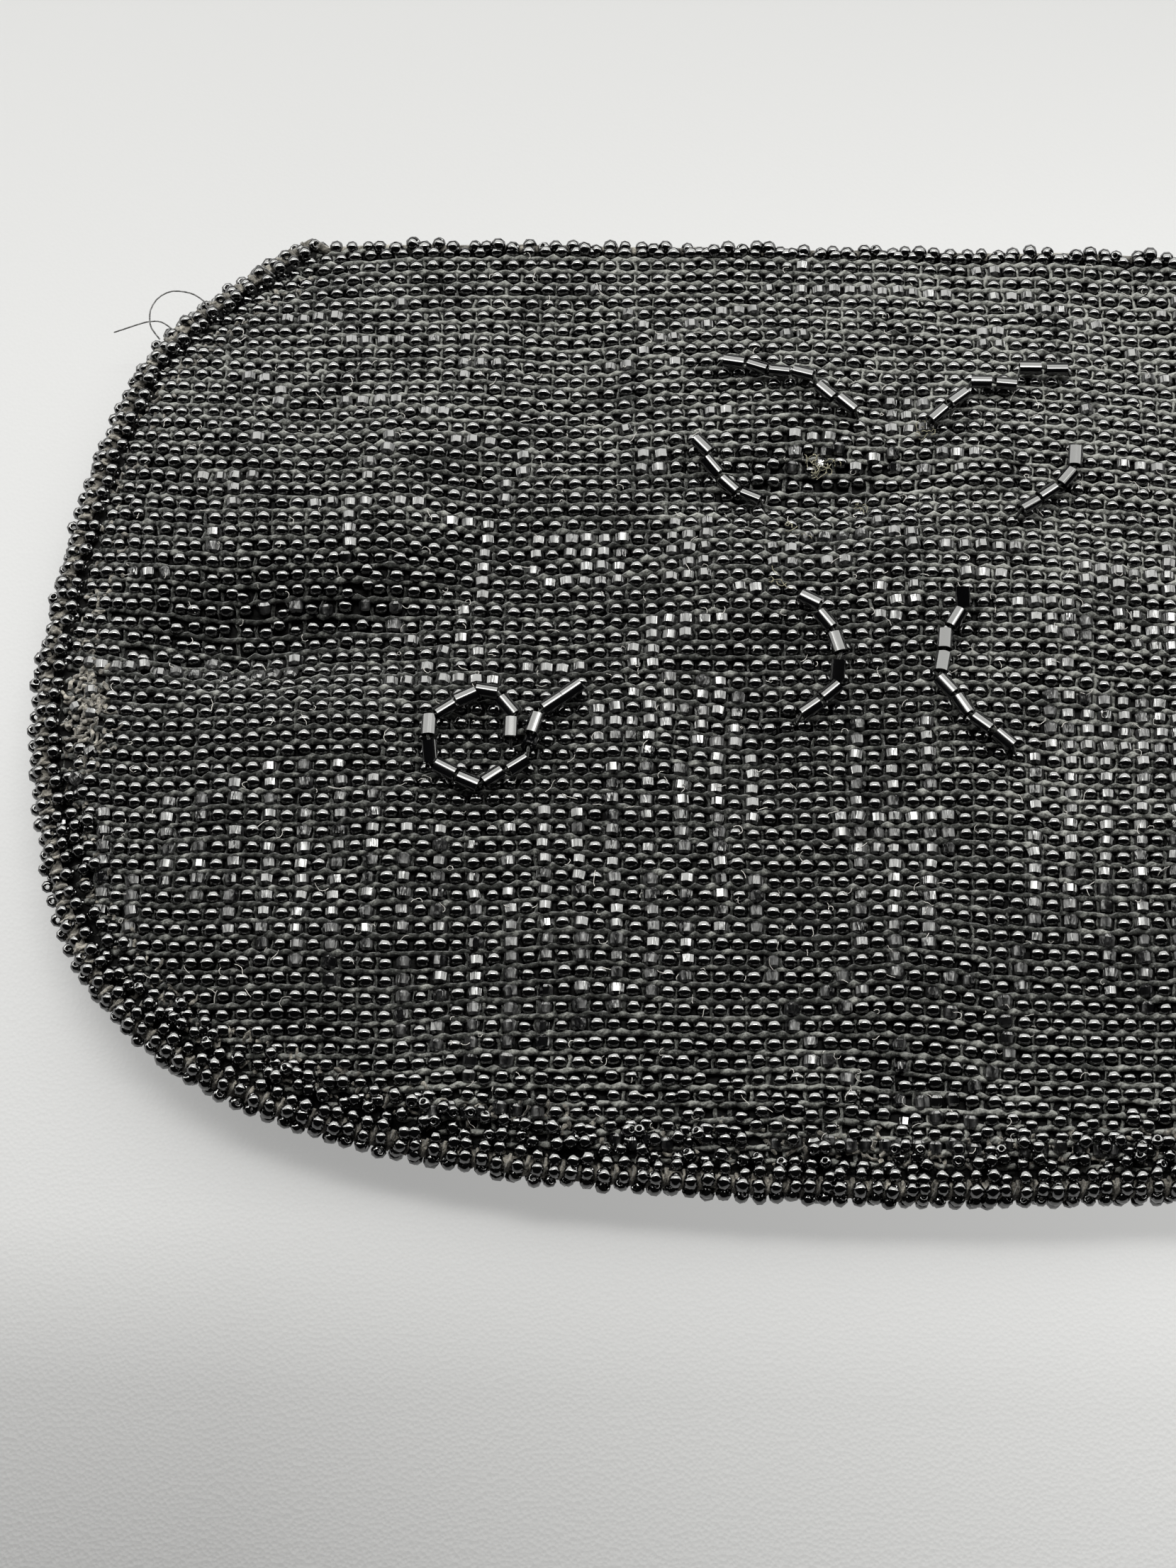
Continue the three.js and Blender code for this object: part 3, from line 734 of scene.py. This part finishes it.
base_line = seam_line[seam_line[:, 1] < -30][::-1]
upper_round, lower_round, cut_spots = [], [], []
for c, x0 in enumerate(columns):
    for r, y0 in enumerate(rows):
        worn = worn_at(x0, y0)
        loose = 0.14 + 0.4 * worn
        x = x0 + column_sway(x0, y0) + dice.uniform(-loose, loose)
        y = y0 + row_sway(x, y0) + dice.uniform(-loose, loose)
        found = drop(front_tree, x, y, 1.5)
        margin = WORN_MARGIN if in_frayed_side(x, y) else SIDE_MARGIN
        near_side = abs(x) > SIDE_START and y < SIDE_TOP and not drop(front_tree, x, y, margin)
        near_base = y < np.interp(abs(x), base_line[:, 0], base_line[:, 1]) + BASE_MARGIN
        if not found or near_side or near_base or dice.random() < 0.02 * worn:
            continue
        spot, normal = found
        normal = (normal + Vector(dice.uniform(-0.28, 0.28, 3)) * worn).normalized()
        cut = (c, r) in cut_places
        depth = (CUT_DIAMETER if cut else BEAD_DIAMETER) / 2 + dice.uniform(-0.08, 0.12)
        group = cut_spots if cut else upper_round if y0 > 0 else lower_round
        group.append((spot - normal * depth, towards_mouth(normal), normal))

for x, y in STRAYS:
    spot, normal = drop(front_tree, x, y)
    hole = normal.cross(Vector(dice.normal(0, 1, 3))).normalized()
    cut_spots.append((spot - normal * 0.5, hole, normal))

ROUND_SIZE, CUT_SIZE = (BEAD_DIAMETER, BEAD_LENGTH), (CUT_DIAMETER, CUT_LENGTH)
for piece in (
    beading("front_round_upper", upper_round, round_bead, ROUND_SIZE, black_glass, 3, 0.08, ROUND_TILT),
    beading("front_round_lower", lower_round, round_bead, ROUND_SIZE, black_glass, 4, 0.08, ROUND_TILT),
    beading("front_cut", cut_spots, cut_bead, CUT_SIZE, cut_glass, 5, 0.09, CUT_TILT),
):
    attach(piece, "root")

# Back cloth and back beads
# The lower wall, of the same crochet and the same round beads, pressed flat where the purse lies on it.
# It is joined to the front along the sides and the base and open at the mouth.
BACK_BELLY, BACK_MOUTH_SHARE, BACK_DEPTH = 9.0, 0.85, 1.25
BACK_COLUMN_PITCH, BACK_ROW_PITCH, BACK_BEAD_LENGTH = 2.32, 2.24, 1.45


def back_height(s, v, xy):
    """The back's bead tops: it bellies down from the seam until the table stops it."""
    top = SEAM_HEIGHT - SEAM_GAP / 2
    return top - np.minimum(top, BACK_BELLY * swell(s, v, BACK_MOUTH_SHARE))


back_cloth = cloth_wall(
    "back_cloth", back_height, across=80, up=50, depth=BACK_DEPTH, outward=-1, material=black_crochet
)
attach(back_cloth, "root")
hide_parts("back_panel")

plain_bead = turned_bead("plain_bead", [(-0.5, 0.3), (0.0, 0.5), (0.5, 0.3)], 7)
back_tree = panel_tree(back_height)
dice = np.random.default_rng(31)
back_lower, back_upper = [], []
for x0 in paced(back_tree, BACK_COLUMN_PITCH, SIDE_REACH, along_x=True, cross=-20, above=False):
    for y0 in paced(back_tree, BACK_ROW_PITCH, MOUTH_REACH, along_x=False, cross=62, above=False):
        found = drop(back_tree, x0 + dice.uniform(-0.1, 0.1), y0 + dice.uniform(-0.1, 0.1), 0.9, False)
        if found:
            spot, normal = found
            centre = spot - normal * (BEAD_DIAMETER / 2 + 0.08)
            (back_upper if y0 > 0 else back_lower).append((centre, towards_mouth(normal), normal))
back_size, back_tilt = (BEAD_DIAMETER, BACK_BEAD_LENGTH), (0.08, 0.08, ANY_TURN)
for name, spots, seed in (("back_round_lower", back_lower, 7), ("back_round_upper", back_upper, 8)):
    piece = beading(name, spots, plain_bead, back_size, black_glass, seed, 0.04, back_tilt)
    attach(piece, "root")

# Edge beading
# The seam is whipped over with loops of beads, from one end of the mouth round the sides and the base. A
# dusty brown-grey thread shows between the loops, and two cords of it lie along the seam under them. On the
# upper sides the rows of the cloth run right up to the loops.
BASE_LOOP_PITCH, SIDE_LOOP_PITCH, HALF_PITCH = 2.05, 2.1, 0.96
EDGE_SIZE, EDGE_TILT = (1.8, 1.72), (0.25, 0.25, ANY_TURN)
THREAD_RADIUS, CORD_THICKNESS = 0.2, 4.6
THREAD_ANGLES, CORD_ANGLES = (125, 95, 60, 25, -10, -50, -85), (58, -58)
UPPER_SIDE, ROW_END_SPACING = -14, 1.74
FULL_TURN = 6.28
LOOPS = {  # out from the seam and up from its level, bead by bead; the rest of a loop lies on the front
    "side": [(0.7, -2.2), (1.5, -0.5), (0.5, 1.1), (-1.2, 2.0)],
    "base": [(0.9, -1.6), (1.5, 0.1), (0.7, 1.75), (-0.9, 2.0)],
}
dusty_thread = yarn_material(
    "dusty_thread", (0.024, 0.0225, 0.020), (0.085, 0.079, 0.069), (0.34, 0.32, 0.28)
)


def seam_frame(run):
    """A point of the seam by its way in mm from the mouth's left end, and the ways outward and onward."""

    def on_seam(w):
        p = seam_at((w if w < seam_length else 2 * seam_length - w) / seam_length)
        return np.array([-p[0] if w < seam_length else p[0], p[1]])

    ahead, behind = on_seam(min(run + 0.5, 2 * seam_length)), on_seam(max(run - 0.5, 0))
    onward = (ahead - behind) / np.linalg.norm(ahead - behind)
    return on_seam(run), np.array([onward[1], -onward[0]]), onward


def on_edge(run, angle, reach, rise, slant=0.0):
    """A point on the rounded edge: angle 90 is on top, 0 outermost and -90 below."""
    here, outward, onward = seam_frame(run)
    cosine, sine = math.cos(math.radians(angle)), math.sin(math.radians(angle))
    xy = here + outward * (SEAM_GAP + reach * cosine) + onward * slant * sine
    return Vector((xy[0], xy[1], SEAM_HEIGHT + rise * sine))


def stray_end(x, y, stride, bend, shallow, deep, shown=True):
    """Four points of a thread's end that wanders over the front between these depths; fewer at its edge."""
    heading, points = dice.uniform(0, FULL_TURN), []
    for _ in range(4):
        found = drop(front_tree, x, y)
        if found and shown:
            points.append(found[0] - found[1] * dice.uniform(shallow, deep))
        heading += dice.normal(0, bend)
        x, y = x + stride * math.cos(heading), y + stride * math.sin(heading)
    return points


dice = np.random.default_rng(41)
edge_spots, edge_threads = [], []
run = 0.4
while run < 2 * seam_length - 0.4:
    here, outward, onward = seam_frame(run)
    end = min(run, 2 * seam_length - run)
    near_end = min(1, 0.25 + end / 5)
    at_base = outward[1] < -0.5
    slant, across = dice.uniform(-0.3, 0.3) + (0.2 if at_base else 0), Vector((*onward, 0))
    chain = []
    for out, up in LOOPS["base" if at_base else "side"]:
        out, up = out * near_end + dice.uniform(-0.4, 0.3), up * near_end + dice.uniform(-0.25, 0.25)
        xy = here + outward * (SEAM_GAP + out) + onward * (slant * up / 2 + dice.uniform(-0.15, 0.15))
        chain.append(Vector((*xy, SEAM_HEIGHT + up)))
    inner = dice.choice([0, 1, 2], p=[0.05, 0.35, 0.6] if at_base else [0.05, 0.65, 0.3])
    for k in range(inner if end > 2 and here[1] < UPPER_SIDE else 0):
        if at_base:
            reach = 2.0 + 1.9 * k + dice.uniform(-0.5, 0.7)
            sideways = dice.uniform(-0.6, 0.6)
        else:
            reach = 2.6 + 1.75 * k + dice.uniform(-0.25, 0.25)
            sideways = slant * 1.5
        found = drop(front_tree, *(here - outward * reach + onward * sideways))
        if found:
            chain.append(found[0] - found[1] * dice.uniform(0.2, 0.55))
    for k, centre in enumerate(chain):
        hole = (chain[min(k + 1, len(chain) - 1)] - chain[max(k - 1, 0)]).normalized()
        hole = (hole + across * dice.uniform(-1.1, 1.1) * (1 if at_base else 0.3)).normalized()
        if at_base and k > 3:  # along the base the inner beads lie any way round
            hole = Vector(dice.normal(0, 1, 3)).normalized()
        away = Vector((*outward, 1.5))
        edge_spots.append((centre, hole, (away - hole * away.dot(hole)).normalized()))
    middle = min(run + HALF_PITCH, 2 * seam_length)
    edge_threads.append([on_edge(middle, a, reach=1.15, rise=1.75, slant=0.5) for a in THREAD_ANGLES])
    for _ in range(4 if at_base else 3):
        start = here - outward * dice.uniform(1.6, 5.4) + onward * dice.uniform(-1, 1)
        stitch = stray_end(*start, stride=0.55, bend=0.5, shallow=0.5, deep=1.2, shown=end > 4)
        if len(stitch) == 4:
            edge_threads.append(stitch)
    run += (BASE_LOOP_PITCH if at_base else SIDE_LOOP_PITCH) * dice.uniform(0.88, 1.12)

row_ends = []
cloth_spots = upper_round + lower_round + cut_spots
taken = np.array([spot for spot, _, _ in cloth_spots + edge_spots if abs(spot[0]) > 72])
for y0 in (y for y in rows if y > UPPER_SIDE):
    for x in (side * x0 for x0 in np.arange(76, 110, 0.2) for side in (-1, 1)):
        found = None if in_frayed_side(x, y0) else drop(front_tree, x, y0 + row_sway(x, y0), 1.0)
        if not found:
            continue
        centre = found[0] - found[1] * dice.uniform(0.85, 1.0)
        if np.linalg.norm(taken - np.array(centre), axis=1).min() > ROW_END_SPACING:
            row_ends.append((centre, towards_mouth(found[1]), found[1]))
            taken = np.vstack([taken, centre])
for _ in range(70):  # the frayed place at the left side
    x, y = dice.normal(-102.6, 1.3), dice.normal(-5.5, 4.0)
    tangle = stray_end(x, y, stride=0.6, bend=0.6, shallow=0.1, deep=1.0)
    if len(tangle) == 4:
        edge_threads.append(tangle)

edge_bead = turned_bead(
    "edge_bead", [(-0.5, 0.27), (-0.22, 0.48), (0.22, 0.48), (0.5, 0.27), (0.42, 0.16), (-0.42, 0.16)], 8,
    drilled=True,
)
edge_beads = beading("edge_beads", edge_spots, edge_bead, EDGE_SIZE, black_glass, 9, 0.1, EDGE_TILT)
row_end_beads = beading("row_end_beads", row_ends, round_bead, ROUND_SIZE, black_glass, 12, 0.08, ROUND_TILT)
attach(row_end_beads, "root")
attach(edge_beads, "root")
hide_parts("edge_beading")
along = np.arange(0.5, 2 * seam_length, 1.5)
seam_cords = [[on_edge(w, a, reach=0.3, rise=0.8) for w in along] for a in CORD_ANGLES]
edge_thread = strands(
    "edge_thread", edge_threads + seam_cords, THREAD_RADIUS, 5, dusty_thread,
    [list(dice.uniform(0.7, 2.0, len(t))) for t in edge_threads] + [[CORD_THICKNESS] * len(along)] * 2,
    [list(dice.uniform(0, 0.7, len(t))) for t in edge_threads + seam_cords],
)
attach(edge_thread, "root")

# Rim beads
# Each lip of the mouth is finished with one string of round beads, not quite evenly spaced, on a dusty
# thread. They lie along the last row of the cloth.
RIM_SIZE, RIM_TILT, RIM_INSET = (1.92, 1.6), (0.4, 0.4, ANY_TURN), 0.8
LIP_CORD_RADIUS, LIP_CORD_INSET, LIP_CORD_DEPTH = 0.64, 0.05, 0.6
RIM_STEPS, RIM_CHANCES = [1.6, 1.95, 2.3, 3.0], [0.25, 0.4, 0.27, 0.08]
for name, height, outer_side, lift, seed in (
    ("rim_beads_front", front_height, 1, -0.8, 51), ("rim_beads_back", back_height, -1, 1.4, 52),
):
    dice = np.random.default_rng(seed)
    lip = np.linspace(-0.998, 0.998, 400)
    top = np.ones_like(lip)
    xy = plan_point(lip, top)
    line = np.column_stack([xy[:, 0], xy[:, 1] + SEAM_GAP - RIM_INSET, height(lip, top, xy) + lift])
    way = np.concatenate([[0], np.cumsum(np.linalg.norm(np.diff(line, axis=0), axis=1))])
    spots, w = [], 0.6
    while w < way[-1] - 0.5:
        here = Vector([np.interp(w, way, line[:, k]) for k in range(3)])
        ahead = Vector([np.interp(w + 0.4, way, line[:, k]) for k in range(3)])
        hole = (ahead - here).normalized()
        drift = Vector((0, dice.uniform(-0.5, 0.5), dice.uniform(-0.3, 0.3)))
        askew = (hole + Vector(dice.uniform(-0.8, 0.8, 3)) * (dice.random() < 0.4)).normalized()
        outer = Vector((0, 0.5, outer_side))
        spots.append((here + drift, askew, (outer - askew * outer.dot(askew)).normalized()))
        w += dice.choice(RIM_STEPS, p=RIM_CHANCES)
    rim = beading(name + "_strung", spots, edge_bead, RIM_SIZE, black_glass, seed, 0.12, RIM_TILT)
    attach(rim, "root")
    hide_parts(name)
    lip_cord = [Vector((x, y - LIP_CORD_INSET, z - outer_side * LIP_CORD_DEPTH)) for x, y, z in line[::4]]
    thread = strands(
        name + "_cord", [lip_cord], LIP_CORD_RADIUS, 7, dusty_thread,
        [list(dice.uniform(0.85, 1.1, len(lip_cord)))], [list(dice.uniform(0, 0.8, len(lip_cord)))],
    )
    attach(thread, "root")

# Bugle strings
# Black glass tubes on thread, couched over the beads as an open flower: two upper petals, two side petals,
# two stems and a curl at each side. Every tube is slightly oval and cut square, with its hole open.
BUGLE_SIZE, BUGLE_TILT = (1.96, 1.56, 2.72), (0.06, 0.06, 0.28)
BUGLE_LENGTH, BUGLE_LIFT, BUGLE_WALL, BUGLE_SIDES = 2.72, 1.0, 0.18, 22
TUBES = {  # x, y, way in degrees and, where a tube stands askew, how steeply it rises that way
    "petal_upper_left": [
        (-20.5, 45.7, -11), (-17.3, 44.9, -23), (-14.4, 44.1, -8), (-11.3, 43.8, -20), (-8.4, 40.9, -42),
        (-5.7, 39.2, -38),
    ],
    "petal_upper_right": [
        (6.4, 37.9, 44), (9.1, 40.5, 44), (12.3, 43.0, -2), (15.5, 42.7, -2), (18.7, 45.4, 3),
        (22.2, 45.3, 3),
    ],
    "petal_side_left": [(-24.6, 32.4, -47), (-23.4, 29.5, -52), (-21.2, 26.6, -43), (-18.3, 24.8, -28)],
    "petal_side_right": [(24.1, 31.5, -93), (22.9, 28.3, -127), (20.3, 26.0, -141), (17.8, 23.9, -143)],
    "stem_left": [
        (-10.7, 8.7, -29), (-8.8, 5.8, -54), (-7.3, 2.6, -74), (-7.3, -0.9, -92, -0.3), (-8.2, -4.1, -138),
        (-10.7, -6.4, -144),
    ],
    "stem_right": [
        (8.7, 10.1, -88, -0.35), (7.8, 6.7, -117), (6.3, 3.6, -95), (5.9, 0.3, -97), (6.4, -3.0, -53),
        (8.4, -5.7, -58), (10.7, -8.1, -38), (13.4, -10.2, -42),
    ],
    "curl_left": [
        (-48.4, -9.7, 92), (-48.8, -6.7, 129), (-51.5, -4.6, 169), (-54.1, -5.5, -150), (-56.7, -7.2, -143),
        (-58.6, -9.6, -93), (-58.4, -12.9, -82, -0.3), (-56.4, -15.6, -30), (-53.5, -17.1, -23),
        (-50.5, -16.4, 34), (-47.3, -14.7, 35), (-45.9, -12.1, 82, -0.7), (-45.4, -9.1, 76),
        (-43.1, -6.3, 35), (-40.8, -4.6, 35),
    ],
}
TUBES["curl_right"] = [(-x, y, 180 - angle, *rise) for x, y, angle, *rise in TUBES["curl_left"]]


def open_tube(name, sides, wall):
    """A tube of unit diameter and length along z, with an open hole and the faint ridges of drawn glass."""
    points, faces = [], []
    for z, radius in ((-0.5, 0.5), (0.5, 0.5), (0.5, 0.5 - wall), (-0.5, 0.5 - wall)):
        for k in range(sides):
            angle = 2 * math.pi * (k + 0.5) / sides
            ridged = radius * (1 + 0.02 * math.sin(5 * angle + 1) + 0.012 * math.sin(3 * angle))
            points.append((ridged * math.cos(angle), ridged * math.sin(angle), z))
    for r in range(4):
        for k in range(sides):
            n, m = (k + 1) % sides, (r + 1) % 4
            faces.append((r * sides + k, r * sides + n, m * sides + n, m * sides + k))
    mesh = bpy.data.meshes.new(name)
    mesh.from_pydata(points, [], faces)
    mesh.shade_smooth()
    mesh.set_sharp_from_angle(angle=math.radians(50))
    return finished(name, mesh)


bugle_glass = glass_material(
    "bugle_glass", (0.0006, 0.0006, 0.0008), (0.03, 0.03, 0.03), 0.07, 0.15, dust=0.3, shine=0.72
)
bugle = open_tube("bugle", BUGLE_SIDES, BUGLE_WALL)
bugle_threads = []
for seed, (name, tubes) in enumerate(TUBES.items(), start=70):
    spots, thread = [], []
    for x, y, angle, *rise in tubes:
        spot, normal = drop(front_tree, x, y)
        way = Vector((math.cos(math.radians(angle)), math.sin(math.radians(angle)), 0))
        way = ((way - normal * way.dot(normal)).normalized() + normal * sum(rise)).normalized()
        normal = (normal - way * normal.dot(way)).normalized()
        centre = spot + normal * BUGLE_LIFT
        rolled = normal + Vector((0, 0.24, 0))
        spots.append((centre, way, (rolled - way * rolled.dot(way)).normalized()))
        thread += [centre - way * BUGLE_LENGTH / 2, centre, centre + way * BUGLE_LENGTH / 2]
    string = beading(name + "_bugles", spots, bugle, BUGLE_SIZE, bugle_glass, seed, 0.04, BUGLE_TILT)
    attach(string, "root")
    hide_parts(name)
    tips = []
    for last, before in ((thread[0], thread[1]), (thread[-1], thread[-2])):
        outer = last + (last - before) * 0.5
        spot, normal = drop(front_tree, outer.x, outer.y)
        tips.append(spot - normal * 0.6)
    bugle_threads.append([tips[0], *thread, tips[1]])
bugle_thread = strands("bugle_thread", bugle_threads, 0.2, 6, charcoal_yarn)
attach(bugle_thread, "root")

# Loose threads and lint
# A few ends of the sewing thread have worked loose at the upper left corner of the edge, and straw-coloured
# ends have frayed out between the petals. Short pale fibres of lint are caught between the beads.
LOOSE = [  # x, y, height of the points, in mm
    [
        (-91.6, 56.1, 8.4), (-92.1, 56.8, 8.8), (-93.5, 57.7, 9.0), (-95.0, 58.1, 9.0), (-96.7, 58.2, 8.8),
        (-98.3, 57.3, 8.6), (-99.2, 55.7, 8.4), (-99.3, 54.3, 8.2), (-99.0, 52.9, 8.0), (-97.8, 51.4, 7.6),
    ],
    [
        (-95.7, 52.5, 7.8), (-97.6, 53.7, 8.2), (-99.3, 53.9, 8.0), (-100.8, 53.7, 7.6), (-102.5, 53.4, 7.0),
        (-104.3, 53.2, 6.2),
    ],
    [(-82.7, 61.0, 8.6), (-83.2, 61.3, 9.0), (-84.2, 61.8, 9.4), (-85.0, 62.2, 9.4), (-85.5, 61.6, 9.2)],
]
FRAYED = [  # x, y, how many ends
    (-9.2, 30.8, 22), (-4.1, 25.2, 4), (4.6, 35.6, 6), (-13.3, 19.9, 4), (-15.2, 11.4, 5),
]
LOOSE_RADIUS, FRAYED_RADIUS, FRAYED_STRIDE = 0.11, 0.06, 0.34
LINT_RADIUS, LINT_COUNT, LONG_LINT = 0.042, 700, 200


def curved(points, count):
    """A smooth line of count points through these."""
    p = np.array(points, float)
    p = np.vstack([2 * p[0] - p[1], p, 2 * p[-1] - p[-2]])
    line = []
    for w in np.linspace(0, len(points) - 1 - 1e-6, count):
        i, t = int(w), w - int(w)
        a, b, c, d = p[i:i + 4]
        bend, twist = 2 * a - 5 * b + 4 * c - d, 3 * b - a - 3 * c + d
        line.append(Vector(0.5 * (2 * b + (c - a) * t + bend * t * t + twist * t**3)))
    return line


grey_thread = yarn_material("grey_thread", (0.06, 0.06, 0.06), (0.14, 0.14, 0.14), (0.3, 0.3, 0.3))
loose_lines = [curved(points, 20) for points in LOOSE]
loose_threads = strands("loose_threads", loose_lines, LOOSE_RADIUS, 6, grey_thread)
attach(loose_threads, "root")

straw_thread = yarn_material("straw_thread", (0.1, 0.092, 0.062), (0.28, 0.262, 0.18), (0.54, 0.505, 0.365))
dice = np.random.default_rng(82)
frayed = []
for middle_x, middle_y, count in FRAYED:
    for _ in range(count):
        x, y = dice.normal(middle_x, 1.0), dice.normal(middle_y, 0.45)
        heading, bend, line = dice.uniform(0, FULL_TURN), dice.normal(0, 0.6), []
        for _ in range(6):
            spot, normal = drop(front_tree, x, y)
            line.append(spot + normal * dice.uniform(-0.2, 0.3))
            heading += bend
            x, y = x + FRAYED_STRIDE * math.cos(heading), y + FRAYED_STRIDE * math.sin(heading)
        frayed.append(line)
frayed_ends = strands("frayed_ends", frayed, FRAYED_RADIUS, 3, straw_thread)
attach(frayed_ends, "root")

pale_lint, tree, shader, place = new_material("pale_lint", Roughness=0.9)
batch = node(tree, "ShaderNodeTexNoise", Vector=place, Scale=90).outputs["Fac"]
connect(tree, shader, Base_Color=shades(tree, batch, [(0.0, (0.22, 0.21, 0.2)), (1.0, (0.62, 0.6, 0.57))]))

dice = np.random.default_rng(81)
fibres = []
while len(fibres) < LINT_COUNT:
    x, y = dice.uniform(-106, 106), dice.uniform(-62, 64)
    heading, bend, step = dice.uniform(0, FULL_TURN), dice.normal(0, 0.5), dice.uniform(0.12, 0.42)
    line, count = [], 7 if len(fibres) < LONG_LINT else 5
    for _ in range(count):
        found = drop(front_tree, x, y, 1.0)
        if not found:
            break
        line.append(found[0] + found[1] * dice.uniform(-0.25, 0.08))
        heading += bend + dice.normal(0, 0.25)
        x, y = x + step * math.cos(heading), y + step * math.sin(heading)
    if len(line) == count:
        fibres.append(line)
lint = strands("lint", fibres, LINT_RADIUS, 3, pale_lint)
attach(lint, "root")

# Patterns
# The single beads that the strings were copied from are taken away.
for pattern in (round_bead, cut_bead, plain_bead, edge_bead, bugle):
    bpy.data.objects.remove(pattern)
